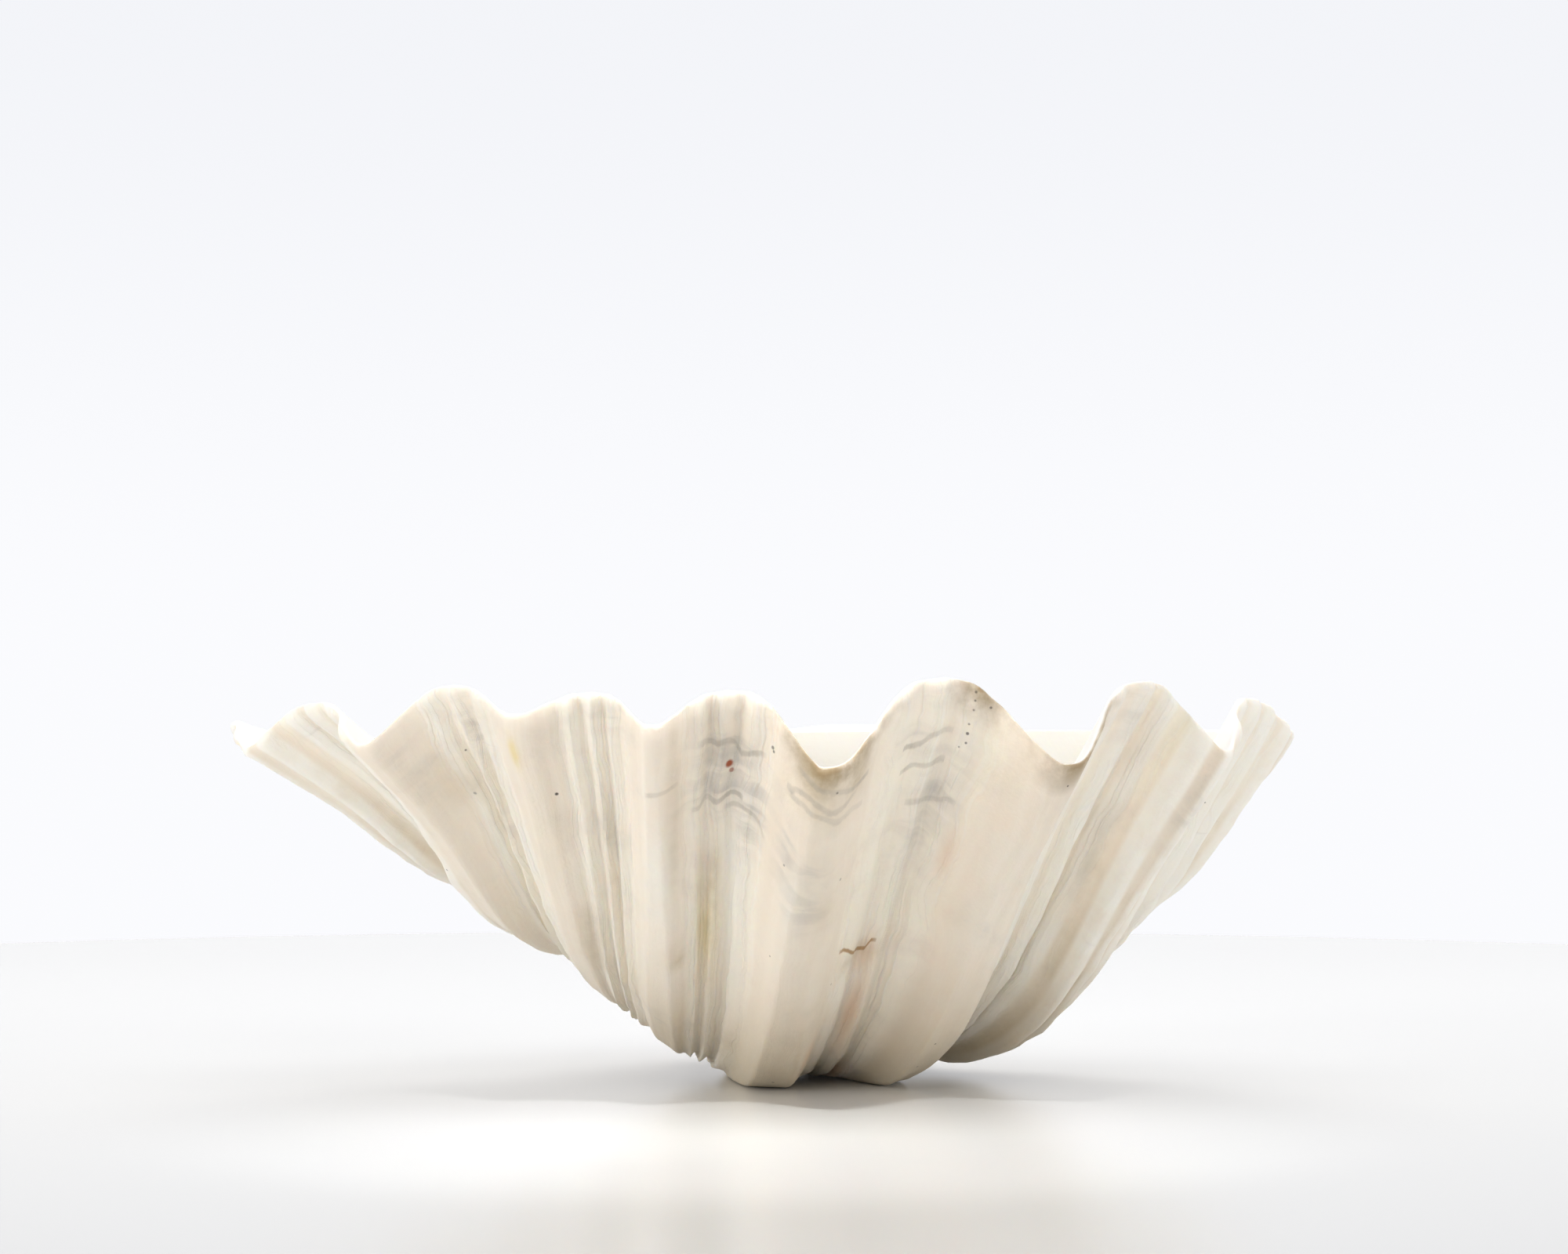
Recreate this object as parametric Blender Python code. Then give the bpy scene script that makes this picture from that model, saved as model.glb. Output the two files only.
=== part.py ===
"""One valve of a giant clam's shell, lying on its outer face with the hollow side up.

Metres, +Z up. X runs along the hinge line, -Y is the wavy free rim and +Y is the hinge side.
The origin is on the surface that the valve rests on, under the middle of its length.

The shell grows as a spiral. Each point of it has two numbers: an angle round the rim, seen
from above, with 0 at the middle of the free rim and minus on the left, and an age from 0 at
the beak to 1 at the rim. A flat slab of cells with those two numbers is bent into the valve.
"""

import math

import bmesh
import bpy
import numpy as np

# Rim, seen from above
HALF_LENGTH = 0.150
FREE_RIM_DEPTH = 0.140
HINGE_RIM_DEPTH = 0.024
RIM_MIDDLE = (-0.0015, 0.030)
END_ANGLE = 118.0

# Beak, the point that the spiral grows from
BEAK = np.array([-0.0255, 0.094, 0.096])
FIRST_AGE = 0.10

# Folds round the rim: angle in degrees, height of the rim in metres, and whether the rim
# rises there, at the end of a groove (+1), or dips there, at the end of a rib (-1)
FOLDS = (
    (-88.0, 0.0975, 1),
    (-65.0, 0.0925, -1),
    (-55.0, 0.1045, 1),
    (-42.0, 0.0945, -1),
    (-32.3, 0.1100, 1),
    (-24.0, 0.1030, -1),
    (-16.4, 0.1085, 1),
    (-10.3, 0.1008, -1),
    (-2.8, 0.1092, 1),
    (7.0, 0.0900, -1),
    (20.2, 0.1123, 1),
    (31.6, 0.0902, -1),
    (47.3, 0.1108, 1),
    (54.5, 0.0925, -1),
    (71.0, 0.1055, 1),
    (87.0, 0.0965, -1),
    (104.0, 0.0985, 1),
)
FOLD_LEAN = 0.65
FOLDS_END = 92.0
FOLDS_FADE = 14.0
FOLD_STRENGTH = ((0.0, 0.26), (0.3, 0.28), (0.45, 0.33), (0.65, 0.62), (0.85, 1.0), (1.0, 1.0))
YOUNG_SPAN = 0.30
RIM_GROOVE_FLAT = 0.06
RIM_RIB_FLAT = 0.06
YOUNG_GROOVE_FLAT = 0.22
YOUNG_RIB_FLAT = 0.24

# Riblets inside the grooves
RIBLET_HEIGHT = 0.0012
RIBLETS_PER_FOLD = 3

# How far the shell has turned over, in degrees, at each age
TURN = (
    (0.0, 165.0),
    (0.058, 149.0),
    (0.14, 135.0),
    (0.2236, 116.6),
    (0.38, 90.0),
    (0.51, 67.0),
    (0.673, 48.0),
    (0.775, 33.0),
    (0.9, 12.0),
    (1.0, 0.0),
)
TURN_FADE = 38.0

# Form of the valve round its rim: angle in degrees and share
FLARE = (
    (-118.0, 0.5),
    (-85.0, 0.6),
    (-60.0, 0.75),
    (-40.0, 0.75),
    (-20.0, 0.5),
    (8.0, 0.5),
    (20.0, 0.35),
    (32.0, 0.58),
    (47.0, 0.4),
    (58.0, 0.5),
    (118.0, 0.3),
)
DEPTH = (
    (-118.0, 0.80),
    (-60.0, 0.71),
    (-45.0, 0.71),
    (-25.0, 0.78),
    (-10.0, 0.875),
    (-3.0, 0.925),
    (8.0, 0.955),
    (20.0, 1.03),
    (34.0, 1.06),
    (57.0, 1.25),
    (75.0, 1.36),
    (118.0, 1.30),
)
BEAK_FLARE = 0.45
FLARE_REACH = 1.2
BULGE = (
    (-118.0, 0.0),
    (-85.0, -0.45),
    (-60.0, -0.75),
    (-40.0, -0.6),
    (-20.0, -0.2),
    (8.0, 0.0),
    (40.0, 0.0),
    (56.0, 0.1),
    (72.0, 0.8),
    (88.0, 0.9),
    (118.0, 0.3),
)

# Wall: thickness in metres at each age, and how much of the folds shows inside
WALL = ((0.0, 0.012), (0.35, 0.012), (0.6, 0.0095), (0.8, 0.0060), (0.92, 0.0038), (1.0, 0.0026))
FOLDS_INSIDE = ((0.0, 0.10), (0.45, 0.15), (0.75, 0.55), (0.92, 0.95), (1.0, 1.0))
CAVITY_AGE = 0.36

# Hinge plate
PLATE_WIDTH = ((0.0, 0.016), (0.35, 0.014), (0.7, 0.008), (1.0, 0.0026))
PLATE_DEPTH = 0.009
PLATE_SPAN = 16.0
PLATE_FRONT = 0.026
PLATE_HALF_LENGTH = 0.005
PLATE_GATHER = 2.0
CAVITY_ROOF = 0.30

# Mesh
CELLS_PER_FOLD = 6
CELLS_PAST_FOLDS = 5
CELLS_BY_AGE = 17
AGE_CROWDING = 1.15
SNAP = 0.0002

# Steps for the directions across the wall: age, and degrees of angle along the folds and
# evened out over several folds
AGE_STEP = 0.006
FINE_REACH = 0.6
BROAD_REACH = 16.0


def through(x, points):
    """A smooth curve through the points, flat at its own highs and lows."""
    at = np.array([p[0] for p in points])
    value = np.array([p[1] for p in points])
    slope = np.diff(value) / np.diff(at)
    grade = np.zeros(len(at))
    same_way = slope[:-1] * slope[1:] > 0
    before = slope[:-1][same_way]
    after = slope[1:][same_way]
    grade[1:-1][same_way] = 2 * before * after / (before + after)
    grade[0] = slope[0]
    grade[-1] = slope[-1]
    x = np.clip(x, at[0], at[-1])
    k = np.clip(np.searchsorted(at, x, side="right") - 1, 0, len(at) - 2)
    step = at[k + 1] - at[k]
    t = (x - at[k]) / step
    rise = t * t * (3 - 2 * t)
    start = t * (1 - t) ** 2 * step * grade[k]
    finish = t * t * (1 - t) * step * grade[k + 1]
    return value[k] + (value[k + 1] - value[k]) * rise + start - finish


def ease(t):
    """Goes from 0 to 1, level at both ends."""
    t = np.clip(t, 0.0, 1.0)
    return t * t * (3 - 2 * t)


def fold_number(angle):
    """Counts folds along the rim: whole at the middle of each rib and groove."""
    places = np.array([fold[0] for fold in FOLDS])
    return np.interp(angle, places, np.arange(len(places)))


def fold_wave(angle, age):
    """+1 in the middle of a groove and -1 on a rib. Young ribs are broad."""
    kinds = np.array([fold[2] for fold in FOLDS], dtype=float)
    number = fold_number(angle)
    k = np.clip(number.astype(int), 0, len(kinds) - 2)
    t = number - k
    young = ease((1.0 - age) / YOUNG_SPAN)
    groove_flat = RIM_GROOVE_FLAT + (YOUNG_GROOVE_FLAT - RIM_GROOVE_FLAT) * young
    rib_flat = RIM_RIB_FLAT + (YOUNG_RIB_FLAT - RIM_RIB_FLAT) * young
    first = np.where(kinds[k] > 0, groove_flat, rib_flat)
    last = np.where(kinds[k] > 0, rib_flat, groove_flat)
    return kinds[k] + (kinds[k + 1] - kinds[k]) * ease((t - first) / (1 - first - last))


def rim_point(angle, age, share):
    """The rim seen from the beak, with the folds at a share of their size."""
    crest = through(angle, [fold[:2] for fold in FOLDS if fold[2] > 0])
    dip = through(angle, [fold[:2] for fold in FOLDS if fold[2] < 0])
    middle = (crest + dip) / 2
    half = (crest - dip) / 2
    fade = 1 - ease((np.abs(angle) - FOLDS_END) / FOLDS_FADE)
    wave = half * fold_wave(angle, age) * fade * through(age, FOLD_STRENGTH) * share
    turn = np.radians(angle)
    depth = np.where(np.abs(angle) > 90, HINGE_RIM_DEPTH, FREE_RIM_DEPTH)
    out_x = np.sin(turn) * depth
    out_y = -np.cos(turn) * HALF_LENGTH
    out = FOLD_LEAN * wave / np.hypot(out_x, out_y)
    x = RIM_MIDDLE[0] + HALF_LENGTH * np.sin(turn) - out * out_x
    y = RIM_MIDDLE[1] - depth * np.cos(turn) - out * out_y
    return np.stack([x, y, middle + wave], -1)


def grown(angle, age, share=1.0):
    """The surface that the shell's folds grow along, with no riblets."""
    arm = rim_point(angle, age, share) - BEAK
    near_hinge = np.clip((END_ANGLE - np.abs(angle)) / TURN_FADE, 0, 1)
    turn = np.radians(through(age, TURN)) * (1 - (1 - near_hinge) ** 2)
    reach = FLARE_REACH * np.tanh(-np.log(age) / FLARE_REACH)
    flare = age ** (1 + BEAK_FLARE) * np.exp((BEAK_FLARE - through(angle, FLARE)) * reach)
    bulge = 1 + through(angle, BULGE) * age * (1 - age)
    x = arm[..., 0] * flare * bulge
    y = age * (arm[..., 1] * np.cos(turn) - arm[..., 2] * np.sin(turn))
    down = arm[..., 1] * np.sin(turn) * through(angle, DEPTH)
    z = age * (down + arm[..., 2] * np.cos(turn))
    return np.stack([x, y, z], -1) + BEAK


def inward(angle, age, share, reach):
    """Unit direction from the surface into the hollow, evened out over a reach of angle."""
    low = np.clip(angle - reach, -END_ANGLE, END_ANGLE)
    high = np.clip(angle + reach, -END_ANGLE, END_ANGLE)
    along = grown(high, age, share) - grown(low, age, share)
    older = grown(angle, np.minimum(age + AGE_STEP, 1.0), share)
    younger = grown(angle, np.maximum(age - AGE_STEP, AGE_STEP), share)
    normal = np.cross(along, older - younger)
    return -normal / np.linalg.norm(normal, axis=-1, keepdims=True)


def outer_face(angle, age):
    """Outer face: the folds with the riblets that run down inside each groove."""
    wave = fold_wave(angle, age)
    in_groove = ease((wave + 0.4) / 1.0)
    ends = 1 - ease((np.abs(angle) - FOLDS_END + FOLDS_FADE) / FOLDS_FADE)
    ripple = np.cos(2 * math.pi * RIBLETS_PER_FOLD * fold_number(angle))
    height = RIBLET_HEIGHT * in_groove * ends * ease((age - 0.1) / 0.3) * ripple
    return grown(angle, age) - height[..., None] * inward(angle, age, 1.0, FINE_REACH)


def inner_face(angle, age):
    """Inner face: a wall's thickness inside the outer one, with the folds smoothed away."""
    share = through(age, FOLDS_INSIDE)
    wall = through(age, WALL)
    plate = through(age, PLATE_WIDTH)
    near_hinge = ease((np.abs(angle) - END_ANGLE + PLATE_SPAN) / PLATE_SPAN)
    thick = wall + (np.maximum(plate, wall) - wall) * near_hinge
    point = grown(angle, age, share) + thick[..., None] * inward(angle, age, 0.0, BROAD_REACH)
    flat = grown(angle, age, share)[..., 2]
    point[..., 2] = point[..., 2] + (flat - point[..., 2]) * near_hinge
    return point


def cavity_face(angle, grow):
    """Inner face, with its first part running down from the front of the hinge plate."""
    point = inner_face(angle, CAVITY_AGE + (1 - CAVITY_AGE) * grow)
    side = angle / END_ANGLE
    drop = PLATE_DEPTH * ease(grow / (CAVITY_ROOF / 3)) * (1 - np.abs(side) ** 6)
    edge_x = BEAK[0] + PLATE_HALF_LENGTH * np.sign(side) * np.abs(side) ** PLATE_GATHER
    edge_y = np.full_like(angle, BEAK[1] - PLATE_FRONT)
    edge = np.stack([edge_x, edge_y, BEAK[2] - drop], -1)
    joined = ease(grow / CAVITY_ROOF)
    return edge + (point - edge) * joined[..., None]


def rim_angles():
    """One angle for each line of cells: the same number of cells for every fold."""
    places = [fold[0] for fold in FOLDS]
    numbers = np.arange((len(places) - 1) * CELLS_PER_FOLD + 1) / CELLS_PER_FOLD
    middle = np.interp(numbers, np.arange(len(places)), places)
    left = np.linspace(-END_ANGLE, places[0], CELLS_PAST_FOLDS, endpoint=False)
    right = np.linspace(END_ANGLE, places[-1], CELLS_PAST_FOLDS, endpoint=False)[::-1]
    return np.concatenate([left, middle, right])


def bent_slab():
    """A flat slab of cells, one cell thick, bent into the valve."""
    angles = rim_angles()
    columns = len(angles) - 1
    mesh = bmesh.new()
    bmesh.ops.create_grid(mesh, x_segments=columns, y_segments=CELLS_BY_AGE, size=0.5)
    bmesh.ops.translate(mesh, verts=mesh.verts[:], vec=(0.5, 0.5, 0.0))
    skin = bmesh.ops.extrude_face_region(mesh, geom=mesh.faces[:])
    raised = [item for item in skin["geom"] if isinstance(item, bmesh.types.BMVert)]
    bmesh.ops.translate(mesh, verts=raised, vec=(0.0, 0.0, 1.0))
    flat = np.array([vert.co for vert in mesh.verts])
    angle = angles[np.rint(flat[:, 0] * columns).astype(int)]
    grow = flat[:, 1] ** AGE_CROWDING
    outside = outer_face(angle, FIRST_AGE + (1 - FIRST_AGE) * grow)
    inside = cavity_face(angle, grow)
    place = np.where(flat[:, 2:] > 0.5, inside, outside)
    for vert, point in zip(mesh.verts, place):
        vert.co = point
    bmesh.ops.recalc_face_normals(mesh, faces=mesh.faces[:])
    if mesh.calc_volume(signed=True) < 0:
        bmesh.ops.reverse_faces(mesh, faces=mesh.faces[:])
    return mesh


def cut_flat_underneath(mesh):
    """The worn crowns of the lowest ribs, flat where the valve rests."""
    cut = bmesh.ops.bisect_plane(
        mesh,
        geom=mesh.verts[:] + mesh.edges[:] + mesh.faces[:],
        dist=SNAP,
        use_snap_center=True,
        plane_co=(0, 0, 0),
        plane_no=(0, 0, -1),
        clear_outer=True,
    )
    edges = [item for item in cut["geom_cut"] if isinstance(item, bmesh.types.BMEdge)]
    bmesh.ops.holes_fill(mesh, edges=edges, sides=0)
    bmesh.ops.triangulate(mesh, faces=mesh.faces[:])


def shell_material():
    """Chalky, slightly translucent shell, warm white."""
    material = bpy.data.materials.new("shell_white")
    material.use_nodes = True
    surface = material.node_tree.nodes["Principled BSDF"]
    surface.inputs["Base Color"].default_value = (0.80, 0.74, 0.66, 1.0)
    surface.inputs["Roughness"].default_value = 0.6
    surface.inputs["Metallic"].default_value = 0.0
    return material


def make_valve():
    mesh = bent_slab()
    cut_flat_underneath(mesh)
    data = bpy.data.meshes.new("valve")
    mesh.to_mesh(data)
    mesh.free()
    data.shade_smooth()
    data.set_sharp_from_angle(angle=math.radians(50))
    data.materials.append(shell_material())
    valve = bpy.data.objects.new("valve", data)
    bpy.context.scene.collection.objects.link(valve)
    return valve


for item in list(bpy.data.objects):
    bpy.data.objects.remove(item, do_unlink=True)
make_valve()
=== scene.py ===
# %% [markdown]
# # One valve of a giant clam's shell
#
# A giant clam's shell has two halves, called valves. This is one of them, lying on its
# outer face with the hollow side up. It is one grown piece: lime that the animal laid
# down at the rim, a little every year, while the rim turned slowly over the beak.
#
# The valve is modelled the way that it grew. Every point of it has an angle round the
# rim and an age, and one formula turns the two numbers into a place. The same two
# numbers then carry the growth lines and the stains, so the pattern follows the shell.
#
# The frame holds the same valve as a plain solid. It gives the size and the place.

import math

import bmesh
import bpy
import numpy as np
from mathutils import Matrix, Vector, noise
from mathutils.bvhtree import BVHTree


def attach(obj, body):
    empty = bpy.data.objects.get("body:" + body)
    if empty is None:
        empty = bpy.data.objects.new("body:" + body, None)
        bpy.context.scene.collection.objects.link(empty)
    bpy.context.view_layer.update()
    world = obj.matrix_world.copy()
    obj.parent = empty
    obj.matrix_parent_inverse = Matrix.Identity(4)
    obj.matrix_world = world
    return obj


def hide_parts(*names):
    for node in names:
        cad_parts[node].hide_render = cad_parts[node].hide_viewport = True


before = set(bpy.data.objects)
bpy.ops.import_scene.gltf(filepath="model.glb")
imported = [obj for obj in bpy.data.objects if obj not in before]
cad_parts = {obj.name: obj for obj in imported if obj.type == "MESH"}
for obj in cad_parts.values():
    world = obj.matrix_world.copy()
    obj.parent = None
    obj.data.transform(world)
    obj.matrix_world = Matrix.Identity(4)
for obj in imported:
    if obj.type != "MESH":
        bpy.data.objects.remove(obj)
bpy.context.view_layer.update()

# %% [markdown]
# ## Camera
#
# The photograph was taken from far away with a long lens, level with the rim, so that
# the far side of the rim only just shows. A camera is placed by three values: its spot,
# its direction, and its lens. The lens is worked out from the picture's width in pixels.
# It comes first, because it also says where on the shell a spot of the photograph lies.

# %% Camera
CAMERA_SPOT = Vector((0.0063, -1.32, 0.12716))
PICTURE_WIDTH = 2000
PICTURE_HEIGHT = 1600
FOCAL_PIXELS = 6032

camera_data = bpy.data.cameras.new("camera")
camera_data.sensor_width = 36.0
camera_data.lens = camera_data.sensor_width * FOCAL_PIXELS / PICTURE_WIDTH
camera = bpy.data.objects.new("camera", camera_data)
camera.location = CAMERA_SPOT
camera.rotation_euler = (math.radians(90), 0, 0)
bpy.context.scene.collection.objects.link(camera)
bpy.context.scene.camera = camera
print("lens, in millimetres:", round(camera_data.lens, 1))

# %% [markdown]
# ## Curves that describe growth
#
# Most sizes of a shell change smoothly with age or round the rim. A short list of points
# with a smooth curve through them is enough for each. The curve here never overshoots its
# points, because a rib that dips below its own lowest value would look wrong. What isn't
# smooth on a shell is noise, and each use of it has a pattern of its own.

# %% Curves and noise
def through(x, points):
    """A smooth curve through the points, flat at its own highs and lows."""
    at = np.array([p[0] for p in points])
    value = np.array([p[1] for p in points])
    slope = np.diff(value) / np.diff(at)
    grade = np.zeros(len(at))
    same_way = slope[:-1] * slope[1:] > 0
    before = slope[:-1][same_way]
    after = slope[1:][same_way]
    grade[1:-1][same_way] = 2 * before * after / (before + after)
    grade[0] = slope[0]
    grade[-1] = slope[-1]
    x = np.clip(x, at[0], at[-1])
    k = np.clip(np.searchsorted(at, x, side="right") - 1, 0, len(at) - 2)
    step = at[k + 1] - at[k]
    t = (x - at[k]) / step
    rise = t * t * (3 - 2 * t)
    start = t * (1 - t) ** 2 * step * grade[k]
    finish = t * t * (1 - t) * step * grade[k + 1]
    return value[k] + (value[k + 1] - value[k]) * rise + start - finish


def ease(t):
    """Goes from 0 to 1, level at both ends."""
    t = np.clip(t, 0.0, 1.0)
    return t * t * (3 - 2 * t)


def bell(x, middle, breadth):
    """1 in the middle, falling to 0 on both sides of it."""
    return np.exp(-(((x - middle) / breadth) ** 2))


def wobble(across, along, pattern):
    """Smooth noise from -1 to 1. A pattern is how fine it is both ways, and a seed."""
    fine_across, fine_along, seed = pattern
    spots = zip(across * fine_across, along * fine_along)
    return np.array([noise.noise((x, y, seed)) for x, y in spots])


print("ease a quarter of the way:", float(ease(0.25)))

# %% [markdown]
# ## The folds of the rim
#
# Seen from above, the rim is an oval. Seen from the front, it goes up and down: it dips
# where a rib ends and rises where the groove between two ribs ends. Each line of the list
# is one of these ends, from the left tip to the right one: its angle round the oval, its
# height, and +1 for a rise or -1 for a dip.
#
# A fold isn't a plain wave. On a young shell the ribs and the grooves are flat and broad.
# Towards the rim the ribs get sharp, and the grooves swell into domes. So the wave has flat
# stretches that change with age, and it stays high on a dome longer than low on a rib.

# %% Rim
HALF_LENGTH = 0.150
FREE_RIM_DEPTH = 0.140
HINGE_RIM_DEPTH = 0.024
RIM_MIDDLE = (-0.0015, 0.030)
END_ANGLE = 118.0
FOLDS = (
    (-88.0, 0.0975, 1),
    (-65.0, 0.0925, -1),
    (-55.0, 0.1045, 1),
    (-42.0, 0.0945, -1),
    (-32.3, 0.1100, 1),
    (-24.0, 0.1030, -1),
    (-16.4, 0.1085, 1),
    (-10.3, 0.1008, -1),
    (-2.8, 0.1092, 1),
    (7.0, 0.0900, -1),
    (20.2, 0.1123, 1),
    (31.6, 0.0902, -1),
    (47.3, 0.1108, 1),
    (54.5, 0.0925, -1),
    (71.0, 0.1055, 1),
    (87.0, 0.0965, -1),
    (104.0, 0.0985, 1),
)
FOLD_LEAN = 0.65
FOLDS_END = 92.0
FOLDS_FADE = 14.0
FOLD_STRENGTH = (
    (0.0, 0.26),
    (0.3, 0.28),
    (0.45, 0.33),
    (0.65, 0.62),
    (0.85, 1.0),
    (1.0, 1.0),
)
YOUNG_SPAN = 0.30
RIM_GROOVE_FLAT = 0.05
RIM_RIB_FLAT = 0.04
YOUNG_GROOVE_FLAT = 0.22
YOUNG_RIB_FLAT = 0.24
CREST_BREADTH = 1.4


def fold_number(angle):
    """Counts folds along the rim: whole at the middle of each rib and groove."""
    places = np.array([fold[0] for fold in FOLDS])
    return np.interp(angle, places, np.arange(len(places)))


def fold_wave(angle, age):
    """+1 in the middle of a groove and -1 on a rib. Both are broad when young."""
    kinds = np.array([fold[2] for fold in FOLDS], dtype=float)
    number = fold_number(angle)
    k = np.clip(number.astype(int), 0, len(kinds) - 2)
    t = number - k
    young = ease((1.0 - age) / YOUNG_SPAN)
    groove_flat = RIM_GROOVE_FLAT + (YOUNG_GROOVE_FLAT - RIM_GROOVE_FLAT) * young
    rib_flat = RIM_RIB_FLAT + (YOUNG_RIB_FLAT - RIM_RIB_FLAT) * young
    first = np.where(kinds[k] > 0, groove_flat, rib_flat)
    last = np.where(kinds[k] > 0, rib_flat, groove_flat)
    along = np.clip((t - first) / (1 - first - last), 0, 1)
    breadth = 1 + (CREST_BREADTH - 1) * (1 - young)
    along = np.where(kinds[k] > 0, along**breadth, 1 - (1 - along) ** breadth)
    return kinds[k] + (kinds[k + 1] - kinds[k]) * ease(along)


def rim_point(angle, age, share):
    """The rim, with the folds at a share of their size."""
    crest = through(angle, [fold[:2] for fold in FOLDS if fold[2] > 0])
    dip = through(angle, [fold[:2] for fold in FOLDS if fold[2] < 0])
    middle = (crest + dip) / 2
    half = (crest - dip) / 2
    fade = 1 - ease((np.abs(angle) - FOLDS_END) / FOLDS_FADE)
    wave = half * fold_wave(angle, age) * fade * through(age, FOLD_STRENGTH) * share
    turn = np.radians(angle)
    depth = np.where(np.abs(angle) > 90, HINGE_RIM_DEPTH, FREE_RIM_DEPTH)
    out_x = np.sin(turn) * depth
    out_y = -np.cos(turn) * HALF_LENGTH
    out = FOLD_LEAN * wave / np.hypot(out_x, out_y)
    x = RIM_MIDDLE[0] + HALF_LENGTH * np.sin(turn) - out * out_x
    y = RIM_MIDDLE[1] - depth * np.cos(turn) - out * out_y
    return np.stack([x, y, middle + wave], -1)


print("ribs:", sum(fold[2] < 0 for fold in FOLDS))

# %% [markdown]
# ## The spiral
#
# A younger rim is a smaller copy of the rim, turned over about the hinge line through the
# beak. At the age of 1 nothing is turned. At the beak the copy has turned by most of a
# half circle, which is why the beak hooks over. The left side grew flat and the right side
# grew deep, so the depth and the flare change round the rim.

# %% Spiral
BEAK = np.array([-0.0255, 0.094, 0.096])
TURN = (
    (0.0, 165.0),
    (0.058, 149.0),
    (0.14, 135.0),
    (0.2236, 116.6),
    (0.38, 90.0),
    (0.51, 67.0),
    (0.673, 48.0),
    (0.775, 33.0),
    (0.9, 12.0),
    (1.0, 0.0),
)
TURN_FADE = 38.0
FLARE = (
    (-118.0, 0.5),
    (-85.0, 0.6),
    (-60.0, 0.75),
    (-40.0, 0.75),
    (-20.0, 0.5),
    (8.0, 0.5),
    (20.0, 0.35),
    (32.0, 0.58),
    (47.0, 0.4),
    (58.0, 0.5),
    (118.0, 0.3),
)
DEPTH = (
    (-118.0, 0.80),
    (-60.0, 0.71),
    (-45.0, 0.71),
    (-25.0, 0.78),
    (-10.0, 0.875),
    (-3.0, 0.925),
    (8.0, 0.955),
    (20.0, 1.03),
    (34.0, 1.06),
    (57.0, 1.25),
    (75.0, 1.36),
    (118.0, 1.30),
)
BEAK_FLARE = 0.45
FLARE_REACH = 1.2
BULGE = (
    (-118.0, 0.0),
    (-85.0, -0.45),
    (-60.0, -0.75),
    (-40.0, -0.6),
    (-20.0, -0.2),
    (8.0, 0.0),
    (40.0, 0.0),
    (56.0, 0.1),
    (72.0, 0.8),
    (88.0, 0.9),
    (118.0, 0.3),
)
AGE_STEP = 0.006


def grown(angle, age, share=1.0):
    """Where the shell is at an angle and an age, with nothing finer than its folds."""
    arm = rim_point(angle, age, share) - BEAK
    near_hinge = np.clip((END_ANGLE - np.abs(angle)) / TURN_FADE, 0, 1)
    turn = np.radians(through(age, TURN)) * (1 - (1 - near_hinge) ** 2)
    reach = FLARE_REACH * np.tanh(-np.log(age) / FLARE_REACH)
    flare = age ** (1 + BEAK_FLARE) * np.exp((BEAK_FLARE - through(angle, FLARE)) * reach)
    bulge = 1 + through(angle, BULGE) * age * (1 - age)
    x = arm[..., 0] * flare * bulge
    y = age * (arm[..., 1] * np.cos(turn) - arm[..., 2] * np.sin(turn))
    down = arm[..., 1] * np.sin(turn) * through(angle, DEPTH)
    z = age * (down + arm[..., 2] * np.cos(turn))
    return np.stack([x, y, z], -1) + BEAK


def growth_way(angle, age, share=1.0):
    """The direction in which the shell grew, not yet of unit length."""
    older = grown(angle, np.minimum(age + AGE_STEP, 1.0), share)
    younger = grown(angle, np.maximum(age - AGE_STEP, AGE_STEP), share)
    return older - younger


def unit(direction):
    return direction / np.linalg.norm(direction, axis=-1, keepdims=True)


def inward(angle, age, share, reach):
    """Unit direction into the hollow, evened out over a reach of angle."""
    low = np.clip(angle - reach, -END_ANGLE, END_ANGLE)
    high = np.clip(angle + reach, -END_ANGLE, END_ANGLE)
    along = grown(high, age, share) - grown(low, age, share)
    return -unit(np.cross(along, growth_way(angle, age, share)))


print("a spot of the belly:", grown(np.array([0.0]), np.array([0.5]))[0].round(3))

# %% [markdown]
# ## The outer face
#
# Close up, the outside of the real shell has three kinds of low relief. Riblets run down
# inside each groove, about five millimetres apart, and on the two flanks also over the
# ribs. Growth left low steps that follow the rim, so the riblets look beaded and the lower
# outline looks toothed. And the sea wore everything softly uneven. Each is a small height,
# added along the direction that points out of the shell. Such relief could be a bump map,
# but then the outline would stay smooth.

# %% Outer face
FINE_REACH = 0.6
FLANK_START = 36.0
FLANK_FADE = 14.0
RIBLET_HEIGHT = 0.0018
RIBLET_SINK = 0.35
RIBLETS_PER_FOLD = 3
RIBLET_SHARPNESS = 1.1
RIBLET_WANDER = 0.9
RIBLET_BIRTH = (0.1, 0.3)
RIB_SIDE_REACH = 0.4
FLANK_REACH = 1.5
BEAD_SHARE = 0.3
STEP_COUNT = 26
STEP_HEIGHT = 0.00045
STEP_SWAY = 0.8
STEP_EDGE = 0.15
LUMP_HEIGHT = 0.0011
# Patterns of noise: how fine from fold to fold, how fine along the growth, and a seed
WANDER_PATTERN = (1.3, 5, 1.0)
UNEVEN_PATTERN = (2.1, 2, 12.0)
BEAD_PATTERN = (4, 45, 2.0)
SWAY_PATTERN = (0.6, 9, 3.0)
STEP_PATTERN = (0.9, 6, 4.0)
LUMP_PATTERN = (0.7, 7, 5.0)


def on_flank(angle):
    """0 on the front of the shell and 1 on its left and right flanks."""
    return ease((np.abs(angle) - FLANK_START) / FLANK_FADE)


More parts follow.
